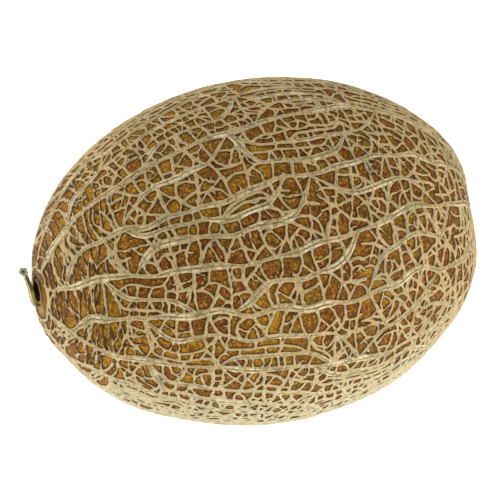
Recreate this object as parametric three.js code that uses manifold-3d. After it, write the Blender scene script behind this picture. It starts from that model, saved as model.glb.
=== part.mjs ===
// A whole netted muskmelon, lying on its side as it comes off a market stall, with the short dried
// stalk it was cut with. The long axis runs along X, the stem end is at -X, and Z points up.
// Millimetres throughout. The melon is one solid: its corky net is relief raised from the rind.
import * as THREE from "three";
import { mergeVertices } from "three/addons/utils/BufferGeometryUtils.js";
import Module from "manifold-3d";

// Driving dimensions of the rind between the net's ridges
const LENGTH = 199; // stem end to blossom end
const GIRTH = 148; // diameter at the middle
const HALF_LENGTH = LENGTH / 2;
const HALF_GIRTH = GIRTH / 2;
const REST_CUT = 0.7; // how much the melon's own weight flattens its lowest point

// Where the fruit grew unevenly: a swelling or a pressed-in place on the plain egg shape
const UNEVEN = {
  blossomFlat: { at: [94, -22, 11], rise: -3.0, reach: 19 },
  stemShoulder: { at: [-97, 9, -17], rise: 2.2, reach: 18 },
  stemBoss: { at: [-99, 0, 0], rise: 1.2, reach: 22 },
  bellyFlat: { at: [-41, -28, -62], rise: -1.5, reach: 25 },
  lowerSwell: { at: [47, -42, -50], rise: 1.0, reach: 34 },
  upperSwell: { at: [80, -2, 44], rise: 1.3, reach: 34 },
  upperHollow: { at: [-21, 34, 65], rise: -0.8, reach: 30 },
  backSwell: { at: [30, 70, 5], rise: 1.1, reach: 36 },
  backHollow: { at: [-45, 60, -25], rise: -1.0, reach: 28 },
};

// The net: long ridges from end to end, tied by cross ridges
const LONG_RIDGES = 40; // at the middle; every second one, then every fourth, reaches the ends
const LONG_RISE = [1.25, 0.95]; // a main ridge, and the thinner one beside it
const RING_RISE = 0.9;
const RIDGE_HALF_WIDTH = 1.8;
const RIDGE_SHARE = 0.3; // the most of a narrow cell that one ridge takes up
const CELL_LENGTH = 10.4; // between cross ridges
const LEAST_CELL = 0.6; // of that length, for the last cell of a strip
const CELL_JITTER = 0.6; // spread of the cell lengths
const SLANT = 0.12; // how far a cross ridge leans, and how close two must come to meet
const RING_JITTER = 0.3; // how unevenly the rings between bands run, as a share of a cell

// How a long ridge strays on its way, as a share of the gap to the next: slowly and quickly
const WANDER = { slow: 0.18, slowWaves: 2.1, quick: 0.12, quickWaves: 5.3 };

// The bands of the net from the stem end to the blossom end. Each starts at a distance from the axis,
// given as a share of the half girth, and keeps every first, second or fourth long ridge.
const BAND_STARTS = [
  { share: 0.15, atBlossom: false },
  { share: 0.3, atBlossom: false },
  { share: 0.62, atBlossom: false },
  { share: 0.62, atBlossom: true },
  { share: 0.3, atBlossom: true },
  { share: 0.15, atBlossom: true },
];
const BAND_STEPS = [4, 2, 1, 2, 4];
const END_STEP = BAND_STEPS[0];
const END_FLOOR = 0.7; // how much of the bare end inside the last ring is level

// The scar where the stalk tears loose from the stem end
const SCAR = { rim: 5.9, floor: 5.3, depth: 2.9, below: 0.1, sides: 28, over: 4 };

// The dried stalk: its middle line from the scar's floor to the cut end, as distances out from the
// stem end, towards the viewer and up
const STALK_LINE = [
  { out: -2.1, side: 0, up: -3.6 },
  { out: 0.5, side: 0.1, up: -4.0 },
  { out: 2.0, side: 0.2, up: -1.4 },
  { out: 3.4, side: 0.4, up: 2.4 },
  { out: 5.9, side: 0.9, up: 8.8 },
  { out: 7.0, side: 2.2, up: 12.6 },
];
const STALK = { foot: 1.6, shaft: 1.2, knob: 1.6, pith: 0.75, pithDepth: 0.7, rings: 22, sides: 20 };
const STALK_FLARE = { foot: 0.12, knob: 0.16 }; // shares of its length that the foot and knob take
const STALK_RIBS = { count: 5, depth: 0.12 };

// The finish of the net and of the stalk
const CORK = { color: 0xb49a66, roughness: 0.75, metalness: 0 };
const DRY_STALK = { color: 0x8d8660, roughness: 0.85, metalness: 0 };

// A repeatable number from 0 to 1 for a pair of numbers.
function chance(a, b) {
  const n = Math.sin(a * 127.1 + b * 311.7) * 43758.5453;
  return n - Math.floor(n);
}

// The point of the rind at a polar angle from the stem end and a turn round the axis, raised by a
// height over the rind. Turn 0 faces +Y and a quarter turn faces up.
function onRind(polar, turn, raised = 0) {
  const p = new THREE.Vector3(
    -HALF_LENGTH * Math.cos(polar),
    HALF_GIRTH * Math.sin(polar) * Math.cos(turn),
    HALF_GIRTH * Math.sin(polar) * Math.sin(turn),
  );
  const out = new THREE.Vector3(
    p.x / HALF_LENGTH ** 2,
    p.y / HALF_GIRTH ** 2,
    p.z / HALF_GIRTH ** 2,
  ).normalize();
  let rise = raised;
  for (const lump of Object.values(UNEVEN)) {
    const away = p.distanceTo(new THREE.Vector3(...lump.at)) / lump.reach;
    rise += lump.rise * Math.exp(-away * away);
  }
  return p.addScaledVector(out, rise);
}

// Millimetres along the rind for one radian of polar angle, and for one radian of turn.
const alongPerRadian = (polar) => Math.hypot(HALF_LENGTH * Math.sin(polar), HALF_GIRTH * Math.cos(polar));
const roundPerRadian = (polar) => HALF_GIRTH * Math.sin(polar);

// The turn of a long ridge, which wanders a little on its way from end to end.
function ridgeTurn(line, polar) {
  const gap = (2 * Math.PI) / LONG_RIDGES;
  const slow = WANDER.slow * Math.sin(WANDER.slowWaves * polar + 2 * Math.PI * chance(line, 1));
  const quick = WANDER.quick * Math.sin(WANDER.quickWaves * polar + 2 * Math.PI * chance(line, 2));
  return gap * (line + slow + quick);
}

// The net's vertices and triangles, gathered cell by cell.
class Net {
  constructor() {
    this.points = [];
    this.triangles = [];
    this.lines = Array.from({ length: LONG_RIDGES }, () => []);
  }

  add(polar, turn, raised) {
    this.points.push(onRind(polar, turn, raised));
    return this.points.length - 1;
  }

  // A vertex on a long ridge, or the one already there if the two nearly meet.
  addOnLine(line, polar, raised, merge) {
    const there = this.lines[line].find((v) => Math.abs(v.polar - polar) < merge);
    if (there) return there;
    const made = { polar, index: this.add(polar, ridgeTurn(line, polar), raised) };
    this.lines[line].push(made);
    return made;
  }

  // The vertices of a long ridge from one to another, both included.
  along(line, from, to) {
    return this.lines[line]
      .filter((v) => v.polar >= from.polar && v.polar <= to.polar)
      .sort((a, b) => a.polar - b.polar);
  }

  // The slope between a chain of outer vertices and the inner edge from p to q.
  slope(chain, p, q) {
    const edges = chain.length - 1;
    const half = Math.floor(edges / 2);
    for (let i = 0; i < half; i++) this.triangles.push([chain[i], chain[i + 1], p]);
    this.triangles.push([p, chain[half], q]);
    for (let i = half; i < edges; i++) this.triangles.push([chain[i], chain[i + 1], q]);
  }

  // One cell: its ridges slope down to a floor at the height of the rind.
  cell(start, right, end, left) {
    const corner = (v, line, toNext, towardsEnd) => {
      const width = roundPerRadian(v.polar);
      const apart = ridgeTurn(this.rightLine, v.polar) - ridgeTurn(this.leftLine, v.polar);
      const gap = width * THREE.MathUtils.euclideanModulo(apart, 2 * Math.PI);
      const inset = Math.min(RIDGE_HALF_WIDTH, RIDGE_SHARE * gap);
      const polar = v.polar + (towardsEnd * inset) / alongPerRadian(v.polar);
      return this.add(polar, ridgeTurn(line, polar) + (toNext * inset) / width, 0);
    };
    const a = corner(left[0], this.leftLine, 1, 1);
    const b = corner(right[0], this.rightLine, -1, 1);
    const c = corner(right.at(-1), this.rightLine, -1, -1);
    const d = corner(left.at(-1), this.leftLine, 1, -1);
    const indices = (chain) => chain.map((v) => v.index);
    this.slope(indices(start), a, b);
    this.slope(indices(right), b, c);
    this.slope(indices(end).reverse(), c, d);
    this.slope(indices(left).reverse(), d, a);
    this.triangles.push([a, b, c], [a, c, d]);
  }
}

// Where a long ridge crosses the ring that starts a band.
function bandStart({ share, atBlossom }, line) {
  const polar = Math.asin(share);
  const stray = RING_JITTER * CELL_LENGTH * (chance(line, share) - 0.5);
  return (atBlossom ? Math.PI - polar : polar) + stray / alongPerRadian(polar);
}

// The places of the cross ridges in one strip between two long ridges.
function crossPlaces(strip, from, to) {
  const places = [];
  let polar = from;
  for (let n = 0; ; n++) {
    const length = CELL_LENGTH * (1 + CELL_JITTER * (chance(strip, n) - 0.5));
    polar += length / alongPerRadian(polar);
    if (polar > to - (LEAST_CELL * CELL_LENGTH) / alongPerRadian(polar)) return places;
    places.push(polar);
  }
}

function nettedRind() {
  const net = new Net();
  const rise = (line) => LONG_RISE[line % 2];
  const rings = BAND_STARTS.map((ring, n) => {
    const step = Math.min(BAND_STEPS[n - 1] ?? END_STEP, BAND_STEPS[n] ?? END_STEP);
    const ringLine = [];
    for (let line = 0; line < LONG_RIDGES; line += step)
      ringLine[line] = net.addOnLine(line, bandStart(ring, line), RING_RISE, 0);
    return ringLine;
  });

  const strips = [];
  BAND_STEPS.forEach((step, band) => {
    for (let left = 0; left < LONG_RIDGES; left += step) {
      const right = (left + step) % LONG_RIDGES;
      const from = (rings[band][left].polar + rings[band][right].polar) / 2;
      const to = (rings[band + 1][left].polar + rings[band + 1][right].polar) / 2;
      const crossings = crossPlaces(left + band * LONG_RIDGES, from, to).map((polar, n) => {
        const small = (SLANT * CELL_LENGTH) / alongPerRadian(polar);
        const lean = small * 2 * (chance(left + n, band) - 0.5);
        return {
          left: net.addOnLine(left, polar + lean, rise(left), small),
          right: net.addOnLine(right, polar - lean, rise(right), small),
        };
      });
      strips.push({ band, step, left, right, crossings });
    }
  });

  for (const { band, step, left, right, crossings } of strips) {
    // A band's first and last cross ridge is the ring it shares with the next band.
    const ringChain = (ring) => {
      const chain = [];
      for (let line = left; line <= left + step; line++) chain.push(ring[line % LONG_RIDGES]);
      return chain.filter(Boolean);
    };
    const ends = [
      { chain: ringChain(rings[band]) },
      ...crossings.map((c) => ({ chain: [c.left, c.right] })),
      { chain: ringChain(rings[band + 1]) },
    ];
    net.leftLine = left;
    net.rightLine = right;
    for (let n = 0; n + 1 < ends.length; n++) {
      const start = ends[n].chain;
      const end = ends[n + 1].chain;
      net.cell(start, net.along(right, start.at(-1), end.at(-1)), end, net.along(left, start[0], end[0]));
    }
  }
  closeEnd(net, rings[0], false);
  closeEnd(net, rings.at(-1), true);
  return net;
}

// The bare skin inside the last ring of the net, at the stem end or the blossom end.
function closeEnd(net, ring, atBlossom) {
  const rim = ring.filter(Boolean);
  const inner = rim.map((v, n) => {
    const polar = atBlossom ? Math.PI - (Math.PI - v.polar) * END_FLOOR : v.polar * END_FLOOR;
    return net.add(polar, ridgeTurn(n * END_STEP, v.polar), 0);
  });
  const pole = net.add(atBlossom ? Math.PI : 0, 0, 0);
  rim.forEach((v, n) => {
    const next = (n + 1) % rim.length;
    const [a, b, c, d] = atBlossom
      ? [v.index, rim[next].index, inner[next], inner[n]]
      : [inner[n], inner[next], rim[next].index, v.index];
    net.triangles.push([a, b, c], [a, c, d]);
    net.triangles.push(atBlossom ? [inner[n], inner[next], pole] : [pole, inner[next], inner[n]]);
  });
}

const wasm = await Module();
wasm.setup();

const MEETING = 1e-4; // vertices closer than this are one

// A closed three.js geometry as a manifold-3d solid, and back.
function toSolid(geometry) {
  const bare = geometry.clone();
  bare.deleteAttribute("normal");
  bare.deleteAttribute("uv");
  const merged = mergeVertices(bare, MEETING);
  return new wasm.Manifold(
    new wasm.Mesh({
      numProp: 3,
      vertProperties: merged.attributes.position.array,
      triVerts: new Uint32Array(merged.index.array),
    }),
  );
}

function toGeometry(solid) {
  const mesh = solid.getMesh();
  return new THREE.BufferGeometry()
    .setAttribute("position", new THREE.BufferAttribute(mesh.vertProperties, 3))
    .setIndex(new THREE.BufferAttribute(mesh.triVerts, 1));
}

const stemEnd = onRind(0, 0).x;

// What the torn stalk leaves open: a shallow round hollow, turned to face -X.
function scarHollow() {
  const profile = [
    new THREE.Vector2(0, -SCAR.depth),
    new THREE.Vector2(SCAR.floor, -SCAR.depth),
    new THREE.Vector2(SCAR.rim, 0),
    new THREE.Vector2(SCAR.rim, SCAR.over),
    new THREE.Vector2(0, SCAR.over),
  ];
  return new THREE.LatheGeometry(profile, SCAR.sides)
    .rotateZ(Math.PI / 2)
    .translate(stemEnd, 0, -SCAR.below);
}

function melonGeometry() {
  const net = nettedRind();
  const skin = new THREE.BufferGeometry()
    .setAttribute("position", new THREE.Float32BufferAttribute(net.points.flatMap((p) => p.toArray()), 3))
    .setIndex(net.triangles.flat());
  const groundTop = -HALF_GIRTH + REST_CUT;
  const ground = new THREE.BoxGeometry(LENGTH, GIRTH, GIRTH).translate(0, 0, groundTop - HALF_GIRTH);
  return toGeometry(toSolid(skin).subtract(toSolid(scarHollow())).subtract(toSolid(ground)));
}

// The stalk is turned straight, with its flared foot, thin shaft and cut knob with a sunken pith, then
// ribbed and bent along its middle line.
function stalkGeometry() {
  const line = new THREE.CatmullRomCurve3(
    STALK_LINE.map(({ out, side, up }) => new THREE.Vector3(stemEnd - out, -side, up)),
  );
  const radius = (t) => {
    const foot = (STALK.foot - STALK.shaft) * Math.exp(-((t / STALK_FLARE.foot) ** 2));
    const knob = (STALK.knob - STALK.shaft) * Math.exp(-(((1 - t) / STALK_FLARE.knob) ** 2));
    return STALK.shaft + foot + knob;
  };
  const sunk = STALK.pithDepth / line.getLength();
  const profile = [new THREE.Vector2(0, 0)];
  for (let n = 0; n <= STALK.rings; n++) {
    const t = n / STALK.rings;
    profile.push(new THREE.Vector2(radius(t), t));
  }
  profile.push(new THREE.Vector2(STALK.pith, 1 - sunk), new THREE.Vector2(0, 1 - sunk));
  const stalk = new THREE.LatheGeometry(profile, STALK.sides);
  const place = stalk.getAttribute("position");
  const straight = new THREE.Vector3();
  for (let n = 0; n < place.count; n++) {
    straight.fromBufferAttribute(place, n);
    const t = THREE.MathUtils.clamp(straight.y, 0, 1);
    const ahead = line.getTangentAt(t);
    const aside = new THREE.Vector3(0, 1, 0).addScaledVector(ahead, -ahead.y).normalize();
    const across = new THREE.Vector3().crossVectors(aside, ahead);
    const ribs = 1 - STALK_RIBS.depth * Math.cos(STALK_RIBS.count * Math.atan2(straight.z, straight.x));
    const bent = line
      .getPointAt(t)
      .addScaledVector(aside, straight.x * ribs)
      .addScaledVector(across, straight.z * ribs);
    place.setXYZ(n, bent.x, bent.y, bent.z);
  }
  return stalk;
}

function piece(name, geometry, look) {
  const mesh = new THREE.Mesh(geometry, new THREE.MeshStandardMaterial(look));
  mesh.name = name;
  return mesh;
}

const melon = new THREE.Group();
melon.add(piece("melon", melonGeometry(), CORK));
melon.add(piece("stalk", stalkGeometry(), DRY_STALK));

// The origin is on the ground, below the middle of the whole.
const box = new THREE.Box3().setFromObject(melon, true);
const middle = box.getCenter(new THREE.Vector3());
for (const mesh of melon.children) mesh.position.set(-middle.x, -middle.y, -box.min.z);

export default melon;
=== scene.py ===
import math

import bpy
import numpy as np
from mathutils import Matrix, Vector


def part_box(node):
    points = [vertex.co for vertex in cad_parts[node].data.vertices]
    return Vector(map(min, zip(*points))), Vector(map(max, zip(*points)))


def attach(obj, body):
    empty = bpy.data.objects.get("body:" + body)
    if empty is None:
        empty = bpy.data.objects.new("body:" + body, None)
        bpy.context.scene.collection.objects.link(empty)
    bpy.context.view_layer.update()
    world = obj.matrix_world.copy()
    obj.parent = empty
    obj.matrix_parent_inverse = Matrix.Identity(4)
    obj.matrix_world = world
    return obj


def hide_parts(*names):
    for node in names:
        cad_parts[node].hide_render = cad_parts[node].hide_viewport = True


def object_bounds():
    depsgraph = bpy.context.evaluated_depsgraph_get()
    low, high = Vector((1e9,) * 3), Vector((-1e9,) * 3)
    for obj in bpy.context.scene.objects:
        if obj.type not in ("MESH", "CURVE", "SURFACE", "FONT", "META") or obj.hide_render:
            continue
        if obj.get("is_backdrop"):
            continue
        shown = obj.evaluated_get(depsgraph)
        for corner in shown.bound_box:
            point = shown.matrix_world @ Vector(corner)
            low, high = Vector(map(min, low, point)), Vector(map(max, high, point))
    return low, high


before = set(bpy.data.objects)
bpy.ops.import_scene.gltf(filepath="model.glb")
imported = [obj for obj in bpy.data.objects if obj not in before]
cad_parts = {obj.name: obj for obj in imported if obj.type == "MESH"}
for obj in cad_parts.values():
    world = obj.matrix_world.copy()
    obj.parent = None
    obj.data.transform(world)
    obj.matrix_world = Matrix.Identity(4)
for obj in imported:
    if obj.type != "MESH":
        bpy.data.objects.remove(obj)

cad_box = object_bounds()

# The melon's form: a whole ripe fruit, with firm flesh under a thin rind. It grew a little unevenly, is
# pressed flat where it lies on the floor, and has a scar at its stem end, where the stalk tore loose.
melon_low, melon_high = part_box("melon")
HALF_LENGTH = 0.0995
HALF_GIRTH = 0.074
HALF_SIZES = np.array([HALF_LENGTH, HALF_GIRTH, HALF_GIRTH])
FLATTENED = 0.0007  # how far the plain spheroid would reach under the floor
OFF_MIDDLE = 0.00126, -0.00025  # its middle, along and across, from the middle of the CAD melon's box
GROUND = melon_low[2]
BODY_CENTRE = np.array(
    [
        (melon_low[0] + melon_high[0]) / 2 + OFF_MIDDLE[0],
        (melon_low[1] + melon_high[1]) / 2 + OFF_MIDDLE[1],
        GROUND + HALF_GIRTH - FLATTENED,
    ]
)

# Swellings and pressed-in places: where, how far out, and how wide
UNEVEN = (
    ((0.094, -0.022, 0.011), -0.0034, 0.022),
    ((-0.099, 0.0, 0.0), 0.0013, 0.022),
    ((-0.098, 0.014, 0.0), -0.0005, 0.009),
    ((-0.0955, 0.003, -0.021), 0.0012, 0.011),
    ((-0.090, -0.004, -0.031), -0.0007, 0.017),
    ((-0.041, -0.028, -0.062), -0.0015, 0.025),
    ((0.045, -0.043, -0.052), 0.0009, 0.020),
    ((0.063, -0.042, -0.039), -0.0007, 0.014),
    ((0.096, -0.013, 0.014), -0.0006, 0.010),
    ((0.088, -0.005, 0.034), 0.0006, 0.012),
    ((0.080, -0.002, 0.044), 0.0008, 0.034),
    ((-0.021, 0.034, 0.065), -0.0002, 0.030),
    ((0.030, 0.070, 0.005), 0.0011, 0.036),
    ((-0.045, 0.060, -0.025), -0.0010, 0.028),
)


def on_spheroid(points):
    """The points moved in or out to the plain spheroid."""
    return points / np.linalg.norm(points / HALF_SIZES, axis=1, keepdims=True)


def outward(points):
    """The spheroid's normals."""
    normals = points / HALF_SIZES**2
    return normals / np.linalg.norm(normals, axis=1, keepdims=True)


def grown(points, rise):
    """The melon's real surface at points of the plain spheroid, raised by rise, in the frame."""
    for place, height, reach in UNEVEN:
        away = np.linalg.norm(points - np.array(place), axis=1) / reach
        rise = rise + height * np.exp(-(away**2))
    return points + outward(points) * rise[:, None] + BODY_CENTRE


# The net's course over the rind. The skin cracks as the fruit swells and heals with cork. Long cracks
# run from the stem end to the blossom end, fork where they grow apart, and cross cracks tie them.
LONG_CRACKS = 8
FIRST_TURN = math.radians(110)
LONG_HALF, LONG_SWELL = 0.00092, 0.00080  # its half width, and how much that swells in places
MAIN_STRIP = 0.0175  # a wider strip gets another long crack
MAIN_LENGTH = 0.110
MAIN_HALF, MAIN_SWELL = 0.00082, 0.0007
FINE_STRIPS = 0.0066, 0.0084  # a wider one gets a fine crack: where the net is fine, and where coarse
FINE_LENGTH = 0.050
FINE_HALF = 0.00056
CROSS_HALVES = 0.00058, 0.00050  # of a cross crack, at its start and end
SPUR_HALVES = 0.00055, 0.00022
RUNG_HALF, RUNG_MORE, RUNG_LESS = 0.00038, 0.00024, 0.00008  # more over a large cell, less at the stem
LARGE_CELL = 200e-6
PATH_STEP, PATH_SHAKE, PATH_BOW = 0.0009, 0.00020, 0.12
STEM_LADDER = 0.044  # up to here from the stem end, strips have rungs alone
STEM_NARROWS, NARROWS_REACH = 0.32, 0.040  # there, strips pass for narrower than they are
RING_RADIUS, RING_HALF = 0.0112, 0.00055
BLOSSOM_RADIUS, BLOSSOM_HALF = 0.0080, 0.0006
CELLS = 34e-6, 58e-6  # how large a cell stays: where the net is fine, and where coarse
SHORTEST_CELL = 0.0032
SPUR_CELL = 30e-6  # a smaller one has no spur
COARSE_SPOTS = (
    ((-0.015, -0.067, 0.028), 0.055),
    ((0.040, 0.060, -0.028), 0.042),
    ((-0.032, 0.050, 0.050), 0.036),
)
CELL_SPREAD = 0.42  # how unlike each other the cells' sizes are
FINER_BELOW = 0.35  # by this share they are smaller on the fruit's lower half
STEM_RUNG_GAP = 0.0036
RUNG_BIAS = 0.85  # below 1 a cell is cut by rungs rather than along the fruit
CUT_TRIES = 24
CUT_LEAN, CUT_OFF_MIDDLE = 0.17, 0.17

chance = np.random.default_rng(25)
POLAR_STEPS = 1200
POLAR = np.linspace(0, math.pi, POLAR_STEPS + 1)
ALONG = np.hypot(HALF_LENGTH * np.sin(POLAR), HALF_GIRTH * np.cos(POLAR))
ARC = np.concatenate([[0], np.cumsum((ALONG[1:] + ALONG[:-1]) / 2 * np.diff(POLAR))])
AROUND = HALF_GIRTH * np.sin(POLAR)

strands = []  # each: its points, its half widths at start and end, and how much it swells on its way


def smooth_step(low, high, value):
    """From 0 at low to 1 at high, with no kink."""
    share = np.clip((value - low) / (high - low), 0, 1)
    return share * share * (3 - 2 * share)


def spot(polar, turn):
    """Points of the spheroid from the angle from the stem end and the turn round the axis."""
    return np.stack(
        [
            -HALF_LENGTH * np.cos(polar),
            HALF_GIRTH * np.sin(polar) * np.cos(turn),
            HALF_GIRTH * np.sin(polar) * np.sin(turn),
        ],
        axis=-1,
    )


def wander(knots, size):
    """A smooth random course over POLAR, between -size and size."""
    heights = chance.uniform(-size, size, knots + 3)
    place = np.linspace(0, knots, len(POLAR))
    whole = np.minimum(place.astype(int), knots - 1)
    part = place - whole
    a, b, c, d = (heights[whole + n] for n in range(4))
    return (
        a * (1 - part) ** 3
        + b * (3 * part**3 - 6 * part**2 + 4)
        + c * (-3 * part**3 + 3 * part**2 + 3 * part + 1)
        + d * part**3
    ) / 6


def lay_long(turn, start, end, half_width, swell):
    strands.append((spot(POLAR[start : end + 1], turn[start : end + 1]), half_width, half_width, swell))


def coarseness(point):
    """How coarse the net is round a point, from 0 to 1."""
    gaps = [np.linalg.norm(point - np.array(place)) / reach for place, reach in COARSE_SPOTS]
    return math.exp(-min(gaps) ** 2)


def crack_path(start, end, bend):
    """A slightly bowed and shaky line of points over the rind."""
    length = np.linalg.norm(end - start)
    count = max(4, int(length / PATH_STEP))
    share = np.linspace(0, 1, count + 1)[:, None]
    shake = np.zeros(count + 1)
    shake[1:-1] = chance.normal(0, PATH_SHAKE, count - 1)
    bow = np.sin(math.pi * share[:, 0]) * length * chance.normal(0, PATH_BOW) + shake
    return on_spheroid(start + (end - start) * share + bend * bow[:, None])


def cross_crack(left, right, place):
    """Mostly, a crack from one long crack to the next."""
    start, end = spot(np.full(2, POLAR[place]), np.array([left[place], right[place]]))
    bend = np.cross(outward(start[None])[0], end - start)
    if chance.random() < 0.85 and np.any(bend):
        path = crack_path(start, end, bend / np.linalg.norm(bend))
        strands.append((path, *CROSS_HALVES, 0))


def fork(left, right, start, end):
    """Splits the strip between two cracks where it is wide, and gives the narrow strips that are left."""
    narrowed = 1 - STEM_NARROWS * np.exp(-((ARC / NARROWS_REACH) ** 2))
    width = (right - left) * AROUND * narrowed
    broad = MAIN_STRIP * chance.uniform(0.85, 1.2)
    widest = width[start:end].max()
    main = widest > broad
    halfway = (start + end) // 2
    coarse = coarseness(spot(POLAR[halfway], (left[halfway] + right[halfway]) / 2))
    fine = FINE_STRIPS[0] + (FINE_STRIPS[1] - FINE_STRIPS[0]) * coarse
    limit = broad if main else fine * chance.uniform(0.8, 1.3)
    wide = np.flatnonzero(width[start:end] > limit) + start
    if not main:
        wide = wide[ARC[wide] > STEM_LADDER * chance.uniform(0.8, 1.25)]
    if len(wide) == 0:
        return [(left, right, start, end)]
    first = wide[0]
    longest = (MAIN_LENGTH if main else FINE_LENGTH) * chance.uniform(0.35, 1)
    last = wide[-1]
    if widest <= 2 * broad:
        last = min(last, int(np.searchsorted(ARC, ARC[first] + longest)))
    join = limit * chance.uniform(0.6, 1.0)
    if ARC[last] - ARC[first] < 2.2 * join:
        return [(left, right, start, end)]
    share = 0.5 + (wander(9, 0.13) + wander(36, 0.05) if main else wander(24, 0.15) + wander(80, 0.09))
    side = float(chance.random() < 0.5)
    for place, towards in ((first, 1), (last, -1)):
        side = 1 - side if chance.random() < 0.7 else side
        along = np.sin(np.clip((ARC - ARC[place]) * towards / join, 0, 1) * math.pi / 2)
        share = side + (share - side) * along
    middle = left + (right - left) * share
    if main:
        half = MAIN_HALF * chance.uniform(0.8, 1.2)
        lay_long(middle, first, last, half, MAIN_SWELL * chance.uniform(0.2, 1.3))
    else:
        lay_long(middle, first, last, FINE_HALF * chance.uniform(0.8, 1.35), 0)
    strips = fork(left, middle, first, last) + fork(middle, right, first, last)
    if first > start:
        cross_crack(left, right, first)
        strips.append((left, right, start, first))
    if last < end:
        cross_crack(left, right, last)
        strips += fork(left, right, last, end)
    return strips


def strip_outline(left, right, start, end):
    """The closed outline of a strip, with a point about every millimetre."""
    sides = np.append(np.arange(start, end, 5), end)
    across = np.linspace(0, 1, 8)[1:-1]

    def over(place, shares):
        turn = left[place] + (right[place] - left[place]) * shares
        return spot(np.full(len(shares), POLAR[place]), turn)

    return np.concatenate(
        [
            spot(POLAR[sides], left[sides]),
            over(end, across),
            spot(POLAR[sides], right[sides])[::-1],
            over(start, across[::-1]),
        ]
    )


def cell_measures(outline):
    """A cell's middle, its area, the way in which it is longest, and its normal."""
    middle = outline.mean(axis=0)
    arms = outline - middle
    area = np.linalg.norm(np.cross(arms, np.roll(arms, -1, axis=0)).sum(axis=0)) / 2
    normal = outward(middle[None])[0]
    radial = np.array([1.0, 0, 0]) - normal * normal[0]
    radial /= np.linalg.norm(radial)
    around = np.cross(normal, radial)
    flat = np.stack([arms @ radial, arms @ around * RUNG_BIAS])
    _, directions = np.linalg.eigh(flat @ flat.T)
    long_way = radial * directions[0, 1] + around * directions[1, 1]
    return middle, area, long_way, normal


def split_cell(outline, middle, across):
    """The two halves of a cell on either side of a new crack, or nothing if it can't be cut so."""
    side = (outline - middle) @ across
    after = np.roll(side, -1)
    cuts = np.flatnonzero((side > 0) != (after > 0))
    if len(cuts) != 2:
        return None
    ends = []
    for cut in cuts:
        share = side[cut] / (side[cut] - after[cut])
        ends.append(outline[cut] + (outline[(cut + 1) % len(outline)] - outline[cut]) * share)
    path = crack_path(ends[0], ends[1], across)
    one = np.concatenate([outline[cuts[0] + 1 : cuts[1] + 1], path[::-1]])
    other = np.concatenate([outline[cuts[1] + 1 :], outline[: cuts[0] + 1], path])
    return one, other, path


def crack_cells(outlines):
    """Splits cells across their long way, over and over, until each is as small as the fruit's are."""
    waiting = list(outlines)
    small = []
    while waiting:
        outline = waiting.pop()
        middle, area, long_way, normal = cell_measures(outline)
        length = np.ptp((outline - middle) @ long_way)
        from_stem = np.linalg.norm(middle - np.array([-HALF_LENGTH, 0, 0]))
        near_stem = 1 - smooth_step(0.040, 0.062, from_stem)
        tapered = chance.random() < near_stem
        if tapered:
            radial = np.array([1.0, 0, 0]) - normal * normal[0]
            long_way = radial / np.linalg.norm(radial)
            length = np.ptp((outline - middle) @ long_way)
            done = length < STEM_RUNG_GAP * chance.uniform(1.3, 1.75)
        else:
            typical = CELLS[0] + (CELLS[1] - CELLS[0]) * coarseness(middle)
            typical *= 1 - FINER_BELOW * smooth_step(-0.015, -0.045, middle[2])
            done = area < typical * math.exp(chance.normal(0, CELL_SPREAD)) or length < SHORTEST_CELL
        if not done:
            for attempt in range(CUT_TRIES):
                straight = chance.random() < 0.88
                lean = chance.normal(0, CUT_LEAN) if straight else chance.uniform(-0.65, 0.65)
                lean += attempt * chance.uniform(-0.08, 0.08)
                across = long_way * math.cos(lean) + np.cross(normal, long_way) * math.sin(lean)
                off_middle = chance.uniform(-CUT_OFF_MIDDLE, CUT_OFF_MIDDLE) * (1 + attempt / 7)
                shifted = middle + long_way * length * off_middle
                halves = split_cell(outline, shifted, across)
                if halves:
                    break
            done = halves is None
        if done:
            small.append(outline)
            continue
        one, other, path = halves
        more = RUNG_MORE * min(area / LARGE_CELL, 1) * (1 - near_stem)
        thick = RUNG_HALF + more - RUNG_LESS * near_stem
        thick *= chance.uniform(0.8, 1.25)
        waiting += [one, other]
        if chance.random() < 0.5:
            path = path[::-1]
        if tapered:
            reached = max(4, int(len(path) * min(1, chance.uniform(0.7, 1.6))))
            strands.append((path[:reached], thick * 1.35, thick * 0.65, 0))
        else:
            strands.append((path, thick, thick * chance.uniform(0.75, 1.1), 0))
    return small


def add_spurs(cells):
    """Short cracks that start at a cell's edge and die out inside it."""
    for outline in cells:
        middle, area, _, normal = cell_measures(outline)
        if area < SPUR_CELL or chance.random() > 0.3:
            continue
        start = outline[chance.integers(len(outline))]
        inward = middle - start
        turned = np.cross(normal, inward) * chance.uniform(-0.5, 0.5)
        end = start + (inward + turned) * chance.uniform(0.6, 1.1)
        path = crack_path(start, end, np.cross(normal, inward) / 0.004)
        strands.append((path, *SPUR_HALVES, 0))


def ring_strand(radius, half_width, pole):
    """A thin ridge round one end of the fruit."""
    turn = np.linspace(0, 2 * math.pi, 200)
    wave = 1 + 0.05 * np.sin(3 * turn + 1) + 0.03 * np.sin(7 * turn)
    polar = np.arcsin(radius * wave / HALF_GIRTH)
    strands.append((spot(polar if pole < 0 else math.pi - polar, turn), half_width, half_width, 0))


widening = AROUND[: POLAR_STEPS // 2]
stem_start = int(np.searchsorted(widening, RING_RADIUS))
blossom_end = POLAR_STEPS - int(np.searchsorted(widening, BLOSSOM_RADIUS))
whole_turn = 2 * math.pi
base_turns = []
for number in range(LONG_CRACKS):
    wave = (wander(5, 0.26) + wander(30, 0.05)) * whole_turn / LONG_CRACKS
    place = number + chance.uniform(-0.12, 0.12)
    base_turns.append(FIRST_TURN + place * whole_turn / LONG_CRACKS + wave)
base_turns.append(base_turns[0] + whole_turn)

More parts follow.
